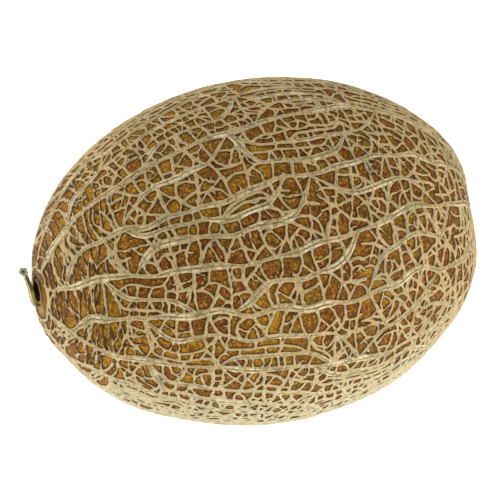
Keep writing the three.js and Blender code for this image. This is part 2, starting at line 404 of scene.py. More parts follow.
strips = []
for left, right in zip(base_turns, base_turns[1:]):
    lay_long(left, stem_start, blossom_end, LONG_HALF * chance.uniform(0.85, 1.15), LONG_SWELL)
    strips += fork(left, right, stem_start, blossom_end)
ring_strand(RING_RADIUS, RING_HALF, -1)
ring_strand(BLOSSOM_RADIUS, BLOSSOM_HALF, 1)
cells = crack_cells([strip_outline(*strip) for strip in strips])
add_spurs(cells)

# Short pieces of every crack, with the ridge's half width there. A long ridge swells and narrows on its
# way, and is split down the middle where it swells.
PIECE_LENGTH = 0.0008
WAVER, WAVER_LENGTHS = 0.12, (0.0021, 0.0047)
SWELL_LENGTHS = 0.0075, 0.0031
TAPER = 0.012  # how long a long ridge's pointed ends are
THICKER_FAR, THICKER_LOW = 0.15, 0.22  # by this share cross ridges are thicker: far end, lower flank
EDGE_REACH = 0.0012
pieces = {"place": [], "half": [], "ahead": [], "split": []}
for number, (points, first_half, last_half, swell) in enumerate(strands):
    steps = np.linalg.norm(np.diff(points, axis=0), axis=1)
    far = np.concatenate([[0], np.cumsum(steps)])
    count = max(2, int(round(far[-1] / PIECE_LENGTH)))
    ends = np.linspace(0, far[-1], count + 1)
    corners = np.stack([np.interp(ends, far, points[:, n]) for n in range(3)], axis=1)
    at = (ends[1:] + ends[:-1]) / 2
    half = np.interp(at, [0, far[-1]], [first_half, last_half])
    short_wave, long_wave = (at / length for length in WAVER_LENGTHS)
    half *= 1 + WAVER * np.sin(short_wave + number) * np.sin(long_wave + 2.3 * number)
    long_wave, short_wave = (at / length for length in SWELL_LENGTHS)
    wave = 0.5 + 0.35 * np.sin(long_wave + 1.7 * number) + 0.15 * np.sin(short_wave + number)
    fat = swell * smooth_step(0.2, 0.85, wave)
    half += fat
    middle = (corners[1:] + corners[:-1]) / 2
    if swell > 0:
        half *= 0.4 + 0.6 * smooth_step(0, TAPER, np.minimum(at, far[-1] - at))
    else:
        far_end = smooth_step(0.02, 0.08, middle[:, 0])
        low_down = smooth_step(-0.012, -0.035, middle[:, 2]) - smooth_step(-0.040, -0.058, middle[:, 2])
        half *= 1 + THICKER_FAR * far_end + THICKER_LOW * low_down
    pieces["place"].append(middle)
    pieces["half"].append(half)
    pieces["ahead"].append((corners[1:] - corners[:-1]) / 2)
    pieces["split"].append(np.full(count, 0.0) if swell == 0 else 0.35 + fat / 0.0009)
pieces = {label: np.concatenate(rows) for label, rows in pieces.items()}


def neighbours(points, others, reach):
    """Pairs of indices of points and others closer than reach, with the way between, in batches."""
    low = np.minimum(points.min(axis=0), others.min(axis=0)) - 2 * reach
    high = np.maximum(points.max(axis=0), others.max(axis=0))
    size = np.ceil((high - low) / reach).astype(np.int64) + 3

    def box_number(boxes):
        return (boxes[:, 0] * size[1] + boxes[:, 1]) * size[2] + boxes[:, 2]

    numbers = box_number(((points - low) / reach).astype(np.int64))
    order = np.argsort(numbers, kind="stable")
    ordered = numbers[order]
    home = ((others - low) / reach).astype(np.int64)
    for shift in np.ndindex(3, 3, 3):
        wanted = box_number(home + np.array(shift) - 1)
        first = np.searchsorted(ordered, wanted, "left")
        count = np.searchsorted(ordered, wanted, "right") - first
        other = np.repeat(np.arange(len(others)), count)
        before = np.repeat(np.cumsum(count) - count, count)
        point = order[np.repeat(first, count) + np.arange(len(other)) - before]
        gap = points[point] - others[other]
        close = np.einsum("ij,ij->i", gap, gap) < reach * reach
        yield point[close], other[close], gap[close]


def lowest(points, others, reach, score):
    """For each point, which of the others within reach has the lowest score, and that score."""
    best = np.full(len(points), np.inf)
    which = np.zeros(len(points), np.int64)
    for point, other, gap in neighbours(points, others, reach):
        value = score(other, gap)
        better = value < best[point]
        point, other, value = point[better], other[better], value[better]
        order = np.argsort(-value, kind="stable")
        best[point[order]] = value[order]
        which[point[order]] = other[order]
    return which, best


def ridge_at(points, long_only=False):
    """For points of the spheroid: the nearest ridge's piece, and how far outside its edge they lie."""
    chosen = np.flatnonzero(pieces["split"] > 0) if long_only else np.arange(len(pieces["half"]))
    half = pieces["half"][chosen]
    ahead = pieces["ahead"][chosen]
    length = np.linalg.norm(ahead, axis=1)
    ahead /= length[:, None]

    def outside(other, gap):
        along = np.einsum("ij,ij->i", gap, ahead[other])
        along = np.clip(along, -length[other], length[other])
        away = np.linalg.norm(gap - ahead[other] * along[:, None], axis=1)
        return away - half[other]

    reach = half.max() + EDGE_REACH + PIECE_LENGTH / 2
    which, edge = lowest(points, pieces["place"][chosen], reach, outside)
    return chosen[which], np.minimum(edge, EDGE_REACH)


# The net: a raised lace of pale cork on the rind, thick and split down the middle along the long
# cracks, thin and rounded across them, with its feet sunk in the skin.
NET_LEVEL = 9
NET_TRIANGLES = 199_000
SOFTENINGS = 1
RIDGE_RISE = 0.00066  # of a ridge with a half width of 1 mm
RIDGE_SKIRT = 0.0004  # how far its foot spreads on its way down under the skin
FOOT_SUNK = 0.0006
SLIT_DEPTH = 0.45  # as a share of the ridge's height
SLIT_WIDTH = 0.00034
RIPPLE_LENGTH, RIPPLE_SIZE = 0.0024, 0.00022  # what makes the ridges' edges ragged
FAR_OFF = 0.003  # as far from a long ridge's line as its split is looked for
BAKE_MARGIN = 0.012  # of a tile's side
BURIED_STRIP = 0.14  # the share of the map for faces under the skin
BURIED_SHIFT = 0.002


def numbers_of(parts, label, kind=np.int32):
    """One number from each of a mesh's parts."""
    numbers = np.empty(len(parts), kind)
    parts.foreach_get(label, numbers)
    return numbers


def places_of(piece):
    """The piece's vertices."""
    places = np.empty(len(piece.data.vertices) * 3, np.float32)
    piece.data.vertices.foreach_get("co", places)
    return places.reshape(-1, 3).astype(float)


def move_to(piece, places):
    piece.data.vertices.foreach_set("co", places.astype(np.float32).ravel())
    piece.data.update()


def give(piece, label, numbers):
    """Lets the piece's vertices carry these numbers."""
    layer = piece.data.attributes.new(label, "FLOAT", "POINT")
    layer.data.foreach_set("value", numbers.astype(np.float32))


def select_only(piece):
    bpy.ops.object.select_all(action="DESELECT")
    piece.select_set(True)
    bpy.context.view_layer.objects.active = piece


def lay_on_map(piece, buried_label=None):
    """Lays the melon's surface on the piece's bake map, in six tiles, one for each side of a cube."""
    mesh = piece.data
    ways = (places_of(piece) - BODY_CENTRE) / HALF_SIZES
    corners = numbers_of(mesh.loops, "vertex_index")
    starts = numbers_of(mesh.polygons, "loop_start")
    totals = numbers_of(mesh.polygons, "loop_total")
    face = np.repeat(np.arange(len(starts)), totals)
    middle = np.add.reduceat(ways[corners], starts)
    axis = np.abs(middle).argmax(axis=1)
    side = axis * 2 + (middle[np.arange(len(starts)), axis] > 0)
    axis, side = axis[face], side[face]
    every = np.arange(len(corners))
    way = ways[corners]
    depth = np.abs(way[every, axis])
    across = np.arctan(way[every, (axis + 1) % 3] / depth) * 2 / math.pi + 0.5
    upward = np.arctan(way[every, (axis + 2) % 3] / depth) * 2 / math.pi + 0.5
    across = (side % 3 + BAKE_MARGIN + across * (1 - 2 * BAKE_MARGIN)) / 3
    upward = (side // 3 + BAKE_MARGIN + upward * (1 - 2 * BAKE_MARGIN)) / 2
    if buried_label:
        depths = numbers_of(mesh.attributes[buried_label].data, "value", np.float32)
        buried = (np.add.reduceat(depths[corners], starts) / totals > 0.2)[face]
        across += BURIED_SHIFT * depths[corners] * buried
        low = upward * (BURIED_STRIP - BAKE_MARGIN)
        upward = np.where(buried, low, BURIED_STRIP + upward * (1 - BURIED_STRIP))
    layer = mesh.uv_layers.new(name="OFBake")
    layer.uv.foreach_set("vector", np.stack([across, upward], axis=1).astype(np.float32).ravel())


def reshape(piece, kind, **settings):
    """Puts a modifier on the piece and applies it."""
    select_only(piece)
    modifier = piece.modifiers.new(kind.lower(), kind)
    for label, setting in settings.items():
        setattr(modifier, label, setting)
    bpy.ops.object.modifier_apply(modifier=modifier.name)


def softened(values, triangles, rounds):
    """The values on a closed mesh, each moved towards its neighbours' mean, which rounds the corners."""
    first = triangles.ravel()
    second = np.roll(triangles, -1, axis=1).ravel()
    count = np.bincount(first)
    for _ in range(rounds):
        values = (values + np.bincount(first, values[second]) / count) / 2
    return values


bpy.ops.object.select_all(action="DESELECT")
bpy.ops.mesh.primitive_ico_sphere_add(subdivisions=NET_LEVEL, radius=1)
ball = bpy.context.object
ball_triangles = numbers_of(ball.data.loops, "vertex_index").reshape(-1, 3)
plain = on_spheroid(places_of(ball))
bpy.data.objects.remove(ball)
ripple = np.zeros(len(plain))
for number in range(7):
    wave = np.random.default_rng(number).normal(0, 1, 3)
    wave *= 2 * math.pi / RIPPLE_LENGTH / np.linalg.norm(wave) * (0.6 + 0.15 * number)
    ripple += np.sin(plain @ wave + number) / 7
which, edge = ridge_at(plain)
edge = softened(edge, ball_triangles, SOFTENINGS) + RIPPLE_SIZE * ripple
inside = edge < RIDGE_SKIRT
kept = ball_triangles[inside[ball_triangles].any(axis=1)]
used, renumbered = np.unique(kept, return_inverse=True)
kept = renumbered.reshape(-1, 3)
plain, edge, which, ripple = plain[used], edge[used], which[used], ripple[used]

half = pieces["half"][which]
long_which, _ = ridge_at(plain, long_only=True)
gap = plain - pieces["place"][long_which]
beside = np.cross(outward(plain), pieces["ahead"][long_which])
beside /= np.linalg.norm(beside, axis=1, keepdims=True)
off_line = np.einsum("ij,ij->i", gap, beside)
off_line[np.linalg.norm(gap, axis=1) > FAR_OFF] = FAR_OFF
split = pieces["split"][long_which] * (np.abs(off_line) < 0.0025)

across = np.clip(1 + edge / half, 0, 1)
rise = RIDGE_RISE * (half / 0.001) ** 0.45 * (1 - across**2.2) ** 0.7 * (1 + 0.10 * ripple)
slit = np.exp(-((off_line / SLIT_WIDTH) ** 2)) * np.clip(split, 0, 1)
rise *= 1 - SLIT_DEPTH * slit
rise -= FOOT_SUNK * smooth_step(0, 1, edge / RIDGE_SKIRT)

top = grown(plain, rise)
base = grown(plain, np.full(len(plain), -FOOT_SUNK - 0.0003))
directed = np.concatenate([kept[:, [0, 1]], kept[:, [1, 2]], kept[:, [2, 0]]])
edges = np.sort(directed, axis=1)
edge_number = edges[:, 0].astype(np.int64) * len(plain) + edges[:, 1]
_, where, uses = np.unique(edge_number, return_inverse=True, return_counts=True)
rim = directed[uses[where] == 1]
count = len(plain)
walls = np.concatenate(
    [
        np.stack([rim[:, 1], rim[:, 0], rim[:, 0] + count], axis=1),
        np.stack([rim[:, 1], rim[:, 0] + count, rim[:, 1] + count], axis=1),
    ]
)
triangles = np.concatenate([kept, kept[:, ::-1] + count, walls])
places = np.concatenate([top, base])
places[:, 2] = np.maximum(places[:, 2], GROUND)
mesh = bpy.data.meshes.new("net")
mesh.vertices.add(len(places))
mesh.vertices.foreach_set("co", places.astype(np.float32).ravel())
mesh.loops.add(triangles.size)
mesh.loops.foreach_set("vertex_index", triangles.astype(np.int32).ravel())
mesh.polygons.add(len(triangles))
mesh.polygons.foreach_set("loop_start", np.arange(0, triangles.size, 3, dtype=np.int32))
mesh.update(calc_edges=True)
net = bpy.data.objects.new("net", mesh)
bpy.context.collection.objects.link(net)
give(net, "edge", np.concatenate([edge, np.full(count, RIDGE_SKIRT)]) * 1000)
give(net, "slit", np.concatenate([off_line, np.full(count, FAR_OFF)]) * 1000)
give(net, "split", np.concatenate([split, np.zeros(count)]))
give(net, "buried", np.concatenate([np.zeros(count), np.ones(count)]))
reshape(net, "DECIMATE", ratio=NET_TRIANGLES / len(net.data.polygons))
lay_on_map(net, "buried")
select_only(net)
bpy.ops.object.shade_smooth()


def new_node(tree, kind, inputs, **settings):
    """A node with these settings. Each input is a value, or the output that feeds it."""
    made = tree.nodes.new("ShaderNode" + kind)
    for label, setting in settings.items():
        setattr(made, label, setting)
    for label, value in inputs.items():
        if isinstance(value, bpy.types.NodeSocket):
            tree.links.new(value, made.inputs[label])
        else:
            made.inputs[label].default_value = value
    return made


def new_finish(name):
    """A material, its node tree, and the places of the piece's points."""
    material = bpy.data.materials.new(name)
    material.use_nodes = True
    tree = material.node_tree
    return material, tree, new_node(tree, "TexCoord", {}).outputs["Object"]


def grain(tree, place, size, detail=3, roughness=0.5):
    """Soft random patches of about this size, from 0 to 1."""
    inputs = {"Vector": place, "Scale": 1 / size, "Detail": detail, "Roughness": roughness}
    return new_node(tree, "TexNoise", inputs).outputs[0]


def between(tree, value, low, high, to_low=0.0, to_high=1.0):
    """A smooth step from to_low at low to to_high at high."""
    inputs = {"Value": value, "From Min": low, "From Max": high, "To Min": to_low, "To Max": to_high}
    return new_node(tree, "MapRange", inputs, interpolation_type="SMOOTHSTEP").outputs[0]


def reckoned(tree, way, first, second=0):
    return new_node(tree, "Math", {0: first, 1: second}, operation=way).outputs[0]


def times(tree, first, second):
    return reckoned(tree, "MULTIPLY", first, second)


def plus(tree, first, second):
    return reckoned(tree, "ADD", first, second)


def tinted(tree, share, under, over):
    """One colour laid over another by a share."""
    colours = [(*colour, 1) if isinstance(colour, tuple) else colour for colour in (under, over)]
    inputs = {0: share, 6: colours[0], 7: colours[1]}
    return new_node(tree, "Mix", inputs, data_type="RGBA").outputs[2]


def carried(tree, label):
    """A value that the mesh's own vertices carry."""
    return new_node(tree, "Attribute", {}, attribute_name=label).outputs["Fac"]


def finish_shader(tree, colour, roughness, height, bump_depth, specular):
    """Ends a finish: its colour, its roughness, its bumps of this depth in metres, and its gloss."""
    shader = tree.nodes["Principled BSDF"]
    tree.links.new(colour, shader.inputs["Base Color"])
    tree.links.new(roughness, shader.inputs["Roughness"])
    bump = new_node(tree, "Bump", {"Height": height, "Distance": bump_depth})
    tree.links.new(bump.outputs[0], shader.inputs["Normal"])
    shader.inputs["Specular IOR Level"].default_value = specular


CORK_PALE = (0.45, 0.335, 0.165)
CORK_SHADED = (0.29, 0.205, 0.085)
CORK_GREEN = (0.265, 0.225, 0.115)
# painted highlight on the backs of the thick ridges
CORK_HIGHLIGHT = (0.62, 0.525, 0.345)
CORK_WARM = (0.45, 0.31, 0.145)
# painted light from the white floor, for the cork's lower side
CORK_FLOOR_LIGHT = (0.55, 0.515, 0.335)
CORK_STAIN = (0.11, 0.095, 0.065)
# dark of the fine cracks, and painted shade in the open split
CORK_CRACK_AND_SHADE = (0.10, 0.085, 0.045)
# painted shade at the ridges' feet
FOOT_SHADE = (0.060, 0.026, 0.008)
CRACK_SPACING = 0.0048

cork, tree, place = new_finish("cork")
edge_mm = carried(tree, "edge")
off_line_mm = reckoned(tree, "ABSOLUTE", carried(tree, "slit"))
split_share = carried(tree, "split")
fibre = grain(tree, place, 0.0011, 5, 0.65)
patch = grain(tree, place, 0.016, 2)
colour = tinted(tree, between(tree, fibre, 0.38, 0.62), CORK_SHADED, CORK_PALE)
colour = tinted(tree, between(tree, patch, 0.45, 0.68, 0, 0.5), colour, CORK_GREEN)
colour = tinted(tree, between(tree, split_share, 0.3, 0.05, 0, 0.25), colour, CORK_WARM)
# Painted light: the cork is painted paler towards the bottom, where the white floor lights it
height = new_node(tree, "SeparateXYZ", {0: place}).outputs[2]
colour = tinted(tree, between(tree, height, 0.070, 0.010, 0, 0.7), colour, CORK_FLOOR_LIGHT)
stain = between(tree, grain(tree, place, 0.013, 3), 0.62, 0.74, 0, 0.55)
colour = tinted(tree, stain, colour, CORK_STAIN)
# Painted highlights: thick ridges are painted paler along their backs, beside the split, in patches
highlight_patches = times(tree, between(tree, grain(tree, place, 0.007, 3), 0.42, 0.60), split_share)
highlight_band = times(tree, between(tree, off_line_mm, 0.35, 0.7), between(tree, off_line_mm, 1.5, 0.9))
colour = tinted(tree, times(tree, times(tree, highlight_patches, highlight_band), 0.75), colour, CORK_HIGHLIGHT)
# The split itself, open in some places and healed in others; where it is open it is painted dark, as
# painted shade in the groove
opened = between(tree, grain(tree, place, 0.0045, 3), 0.36, 0.56)
opened = times(tree, opened, between(tree, split_share, 0.2, 0.7))
split_shade = times(tree, between(tree, off_line_mm, 0.34, 0.12), opened)
colour = tinted(tree, times(tree, split_shade, 0.8), colour, CORK_CRACK_AND_SHADE)
# Fine cracks across the ridges
inputs = {"Vector": place, "Scale": 1 / CRACK_SPACING}
cracks = new_node(tree, "TexVoronoi", inputs, feature="DISTANCE_TO_EDGE").outputs[0]
crack_line = times(tree, between(tree, cracks, 0.055, 0.020), between(tree, edge_mm, -0.2, -0.45))
colour = tinted(tree, times(tree, crack_line, 0.7), colour, CORK_CRACK_AND_SHADE)
# Painted shade: the ridges' feet are painted dark brown where they meet the skin
colour = tinted(tree, between(tree, edge_mm, -0.10, 0.10), colour, FOOT_SHADE)
cork_height = reckoned(tree, "SUBTRACT", fibre, times(tree, crack_line, 0.6))
finish_shader(tree, colour, between(tree, fibre, 0.3, 0.7, 0.62, 0.85), cork_height, 0.00012, 0.12)
net.data.materials.append(cork)
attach(net, "root")
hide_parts("melon")

# The rind: the thin satin skin that shows between the ridges, speckled from gold to russet. The net grows
# on it and its stem end sinks to the scar. It starts as a cube of fine squares, blown up round.
RIND_SQUARES = 128
CELL_REACH = 0.006
SCAR_ABOVE_POLE = 0.0011
SCAR_RADIUS = 0.0052
SCAR_DEPTH = 0.0050
SKIN_SUNK = 0.0002  # how far the skin lies below the feet of the ridges
LIFTED = 0.0002  # how far the skin clears the floor, which the net's lowest ridges stand on
bpy.ops.object.select_all(action="DESELECT")
bpy.ops.mesh.primitive_cube_add(size=2)
rind = bpy.context.object
rind.name = rind.data.name = "rind"
bpy.ops.object.mode_set(mode="EDIT")
bpy.ops.mesh.select_all(action="SELECT")
bpy.ops.mesh.subdivide(number_cuts=RIND_SQUARES - 1)
bpy.ops.object.mode_set(mode="OBJECT")
places = np.tan(places_of(rind) * math.pi / 4)
plain = on_spheroid(places / np.linalg.norm(places, axis=1, keepdims=True))
_, edge = ridge_at(plain)
from_scar = np.hypot(plain[:, 1], plain[:, 2] - SCAR_ABOVE_POLE)
from_scar[plain[:, 0] > 0] = 1
hollow = SCAR_DEPTH * (1 - smooth_step(0.78, 1.06, from_scar / SCAR_RADIUS))
cell_spots = [outline.mean(axis=0) * 0.5 + outline[::3] * 0.5 for outline in cells]
cell_numbers = np.repeat(np.arange(len(cells)), [len(spots) for spots in cell_spots])
cell_tones = np.random.default_rng(31).random(len(cells))
cell_spots = np.concatenate(cell_spots)
closest, _ = lowest(plain, cell_spots, CELL_REACH, lambda other, gap: (gap**2).sum(axis=1))
tone = cell_tones[cell_numbers[closest]]
places = grown(plain, -SKIN_SUNK - 0.00015 * smooth_step(0.0006, 0, edge) - hollow)
places[:, 2] = np.maximum(places[:, 2], GROUND + LIFTED)
move_to(rind, places)
give(rind, "edge", edge * 1000)
give(rind, "scar", from_scar * 1000)
give(rind, "tone", tone)
lay_on_map(rind)
select_only(rind)
bpy.ops.object.shade_smooth()

STEM_END, BLOSSOM_END = grown(np.array([[-HALF_LENGTH, 0.0, 0.0], [HALF_LENGTH, 0.0, 0.0]]), np.zeros(2))
SCAR_CENTRE = STEM_END + np.array([0, 0, SCAR_ABOVE_POLE])
OLIVE_SPOT = SCAR_CENTRE + np.array([0.0003, -0.0022, -0.0064])
# painted shade: a spot on the far side of the stem hollow
PIT_SHADE_SPOT = SCAR_CENTRE + np.array([0.0, 0.0045, 0.0018])

SKIN_GOLD = (0.315, 0.150, 0.010)
SKIN_OLIVE = (0.17, 0.105, 0.010)
SKIN_RUSSET = (0.17, 0.057, 0.010)
SKIN_BRIGHT = (0.48, 0.27, 0.035)
SKIN_DARK = (0.030, 0.012, 0.003)
SCAR_BROWN = (0.165, 0.070, 0.007)
SCAR_PALE = (0.27, 0.155, 0.035)
SCAR_OLIVE = (0.29, 0.225, 0.045)
# painted shade in the stem hollow
SCAR_SHADE = (0.008, 0.005, 0.003)
BLOSSOM_BROWN = (0.13, 0.085, 0.040)
BLOSSOM_CORK = (0.33, 0.25, 0.135)


def from_spot(tree, place, centre):
    """How far the points of the piece are from a spot."""
    inputs = {0: place, 1: tuple(centre)}
    return new_node(tree, "VectorMath", inputs, operation="DISTANCE").outputs["Value"]


def olive_and_pit_shade(tree, place):
    """The shares of the scar's olive patch and of the painted shade beside the stalk, on the far side of
    the hollow.
    """
    olive = between(tree, from_spot(tree, place, OLIVE_SPOT), 0.0048, 0.0030, 0, 0.9)
    pit_shade = between(tree, from_spot(tree, place, PIT_SHADE_SPOT), 0.0062, 0.0030, 0, 0.92)
    return olive, pit_shade


skin, tree, place = new_finish("skin")
edge_mm = carried(tree, "edge")
tone = carried(tree, "tone")
scar_mm = carried(tree, "scar")
patch = grain(tree, place, 0.028, 2)
speckle = grain(tree, place, 0.0012, 4, 0.62)
blotch = grain(tree, place, 0.0034, 3, 0.55)
russet_share = plus(tree, times(tree, tone, 0.34), times(tree, patch, 1.2))
russet_share = plus(tree, russet_share, times(tree, blotch, 0.7))
# The stem end ripened to gold, the blossom end to russet
along_fruit = new_node(tree, "SeparateXYZ", {0: place}).outputs[0]
russet_share = plus(tree, russet_share, between(tree, along_fruit, -0.085, 0.045, -0.10, 0.06))
colour = tinted(tree, between(tree, russet_share, 0.78, 1.22), SKIN_GOLD, SKIN_RUSSET)
olive_share = between(tree, grain(tree, place, 0.011, 2), 0.5, 0.66, 0, 0.6)
colour = tinted(tree, olive_share, colour, SKIN_OLIVE)
colour = tinted(tree, between(tree, blotch, 0.55, 0.35, 0, 0.5), colour, SKIN_DARK)
colour = tinted(tree, between(tree, speckle, 0.52, 0.36, 0, 0.68), colour, SKIN_DARK)
colour = tinted(tree, between(tree, speckle, 0.53, 0.68, 0, 0.72), colour, SKIN_BRIGHT)
shaded = between(tree, edge_mm, between(tree, blotch, 0.3, 0.7, 0.35, 0.85), 0.05, 0, 0.86)
colour = tinted(tree, shaded, colour, SKIN_DARK)
# The bare ring round the scar
rings = reckoned(tree, "SINE", plus(tree, times(tree, scar_mm, 6.2), times(tree, blotch, 7)))
bare = tinted(tree, between(tree, rings, -0.2, -1.0, 0, 0.6), SCAR_BROWN, SKIN_DARK)
bare = tinted(tree, between(tree, rings, 0.3, 1.0, 0, 0.4), bare, SCAR_PALE)
bare = tinted(tree, between(tree, speckle, 0.50, 0.36, 0, 0.5), bare, SKIN_DARK)
olive, pit_shade = olive_and_pit_shade(tree, place)
bare = tinted(tree, olive, bare, tinted(tree, between(tree, speckle, 0.40, 0.55), SCAR_BROWN, SCAR_OLIVE))
# Painted shade on the far side of the hollow, beside the stalk
bare = tinted(tree, pit_shade, bare, SCAR_SHADE)
colour = tinted(tree, between(tree, scar_mm, 10.6, 9.6), colour, bare)
# Painted shade: the skin deep in the stem hollow is painted black
colour = tinted(tree, between(tree, scar_mm, 4.8, 4.4), colour, SCAR_SHADE)
# The blossom end's own small scar, healed with thin cork
ragged_gap = plus(tree, from_spot(tree, place, BLOSSOM_END), times(tree, blotch, 0.006))
healed = tinted(tree, between(tree, speckle, 0.40, 0.58), BLOSSOM_BROWN, BLOSSOM_CORK)
healed = tinted(tree, between(tree, ragged_gap, 0.0052, 0.0040), healed, SKIN_DARK)
colour = tinted(tree, between(tree, ragged_gap, 0.0112, 0.0092), colour, healed)
finish_shader(tree, colour, between(tree, speckle, 0.35, 0.65, 0.45, 0.62), speckle, 0.00008, 0.035)
rind.data.materials.append(skin)
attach(rind, "root")
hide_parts("melon")

# The scar: a shallow cup with a torn corky lip, dark inside, where the stalk broke away on most of its
# round. A few of its stiff fibres still stand in it.
SCAR_SIDES = 96
# From the foot of the lip over its top to the floor: radius, and distance outwards
CUP_INSIDE = (
    (0.00538, -0.00060),
    (0.00500, -0.00005),
    (0.00468, 0.00010),
    (0.00437, -0.00020),
    (0.00417, -0.00110),
    (0.00398, -0.00205),
    (0.00335, -0.00265),
    (0.00218, -0.00290),
    (0.00094, -0.00295),
)
CUP_UNDERSIDE = ((0.0055, -0.0023), (0.0045, -0.0036), (0.0023, -0.0040))
CUP_FOOT = (0.0058, -0.0013)
LIP_RADIUS, WALL_RADIUS, FLOOR_RADIUS = 0.0047, 0.0040, 0.0038
LIP_RAGGED, FLOOR_RAGGED = 0.00030, 0.00022


def cup_rings(rings):
    """Extrudes the selected ring through rings of these radii, each this far out, and closes the last."""
    radius, out = CUP_FOOT
    for next_radius, next_out in rings:
        bpy.ops.mesh.extrude_edges_move(TRANSFORM_OT_translate={"value": (out - next_out, 0, 0)})
        share = next_radius / radius
        bpy.ops.transform.resize(value=(1, share, share), center_override=SCAR_CENTRE)
        radius, out = next_radius, next_out
    bpy.ops.mesh.merge(type="CENTER")


bpy.ops.object.select_all(action="DESELECT")
bpy.ops.mesh.primitive_circle_add(
    vertices=SCAR_SIDES,
    radius=CUP_FOOT[0],
    location=SCAR_CENTRE - np.array([CUP_FOOT[1], 0, 0]),
    rotation=(0, math.pi / 2, 0),
)
scar = bpy.context.object
scar.name = scar.data.name = "stem_scar"
bpy.ops.object.transform_apply(location=True, rotation=True, scale=True)
bpy.ops.object.mode_set(mode="EDIT")
bpy.ops.mesh.select_all(action="SELECT")
cup_rings(CUP_INSIDE)
bpy.ops.object.mode_set(mode="OBJECT")
for vertex in scar.data.vertices:
    vertex.select = vertex.index < SCAR_SIDES
bpy.ops.object.mode_set(mode="EDIT")
cup_rings(CUP_UNDERSIDE)
bpy.ops.mesh.select_all(action="SELECT")
bpy.ops.mesh.normals_make_consistent(inside=False)
bpy.ops.object.mode_set(mode="OBJECT")
reshape(scar, "SUBSURF", levels=1, render_levels=1)

places = places_of(scar)
arms = places - SCAR_CENTRE
radius = np.hypot(arms[:, 1], arms[:, 2])
turn_round = np.arctan2(arms[:, 2], arms[:, 1])
ragged = sum(np.sin(n * turn_round + 1.9 * n) / n**0.5 for n in (2, 3, 5, 9, 14, 23, 37)) / 2.6
inside_cup = arms[:, 0] < 0.0032
lip = np.exp(-(((radius - LIP_RADIUS) / 0.0005) ** 2)) * (arms[:, 0] < 0.0012)
wall = np.exp(-(((radius - WALL_RADIUS) / 0.0007) ** 2)) * inside_cup
places[:, 0] -= LIP_RAGGED * lip * ragged
floor_bumps = np.sin(arms[:, 1] * 2900 + 1) * np.sin(arms[:, 2] * 2300) * (radius < FLOOR_RADIUS)
places[:, 0] -= FLOOR_RAGGED * floor_bumps * inside_cup
pulled = 1 + 0.05 * wall * ragged
places[:, 1:] = SCAR_CENTRE[1:] + arms[:, 1:] * pulled[:, None]
move_to(scar, places)
give(scar, "radius", radius * 1000)

FIBRE_SIDES = 8
# Each fibre's start and end, in mm out, to the side and up from the scar's middle, and its width
SCAR_FIBRES = (
    ((-2.9, 1.3, -2.6), (-0.2, 2.1, -2.0), 0.0008),
    ((-2.9, 0.3, -3.3), (0.5, 1.5, -3.8), 0.0009),
    ((-2.9, -1.4, -2.8), (-0.3, -2.0, -3.0), 0.0007),
    ((-2.9, -0.5, -1.7), (-0.8, -0.7, -0.5), 0.0007),
    ((-2.9, 1.9, -1.5), (-1.2, 2.6, -0.7), 0.0006),
    ((-2.9, -2.0, 0.9), (-1.4, -2.5, 1.6), 0.0006),
    ((-2.9, 1.1, 2.0), (-1.7, 0.9, 2.8), 0.0005),
)


def add_fibre(start, end, width):
    """A stiff thin fibre, thickest at its start."""
    way = Vector([-1, -1, 1]) * 0.001
    foot = Vector(SCAR_CENTRE) + Vector(start) * way
    tip = Vector(SCAR_CENTRE) + Vector(end) * way
    bpy.ops.object.select_all(action="DESELECT")
    bpy.ops.mesh.primitive_cone_add(
        vertices=FIBRE_SIDES,
        radius1=width / 2,
        radius2=width / 8,
        depth=(tip - foot).length,
        location=(foot + tip) / 2,
        rotation=(tip - foot).to_track_quat("Z", "Y").to_euler(),
    )
    return bpy.context.object


def join_to(piece, others):
    select_only(piece)
    for other in others:
        other.select_set(True)
    bpy.ops.object.join()


join_to(scar, [add_fibre(*fibre) for fibre in SCAR_FIBRES])
bpy.ops.object.shade_smooth()

LIP_CORK = (0.34, 0.24, 0.10)
LIP_BROWN = (0.13, 0.065, 0.018)
CUP_BROWN = (0.045, 0.022, 0.008)
# painted shade in the scar's cup
CUP_SHADE = (0.009, 0.006, 0.004)
scar_cork, tree, place = new_finish("scar_cork")
radius_mm = carried(tree, "radius")
fleck = grain(tree, place, 0.0007, 4, 0.6)
# The cup's dark brown inside is patched with black: painted shade in the hollow
colour = tinted(tree, between(tree, fleck, 0.40, 0.62), CUP_SHADE, CUP_BROWN)
lip_colour = tinted(tree, between(tree, fleck, 0.36, 0.52), CUP_BROWN, LIP_BROWN)
colour = tinted(tree, between(tree, radius_mm, 4.3, 4.6), colour, lip_colour)
lip_line = times(tree, between(tree, radius_mm, 4.6, 4.85), between(tree, radius_mm, 5.35, 5.05))
colour = tinted(tree, times(tree, lip_line, 0.5), colour, LIP_CORK)
olive, pit_shade = olive_and_pit_shade(tree, place)
colour = tinted(tree, times(tree, olive, between(tree, radius_mm, 4.4, 4.7)), colour, SCAR_OLIVE)
# Painted shade on the far side of the hollow, beside the stalk
colour = tinted(tree, pit_shade, colour, SCAR_SHADE)
finish_shader(tree, colour, between(tree, fleck, 0.3, 0.7, 0.7, 0.95), fleck, 0.00015, 0.04)
scar.data.materials.append(scar_cork)
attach(scar, "root")
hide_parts("melon")

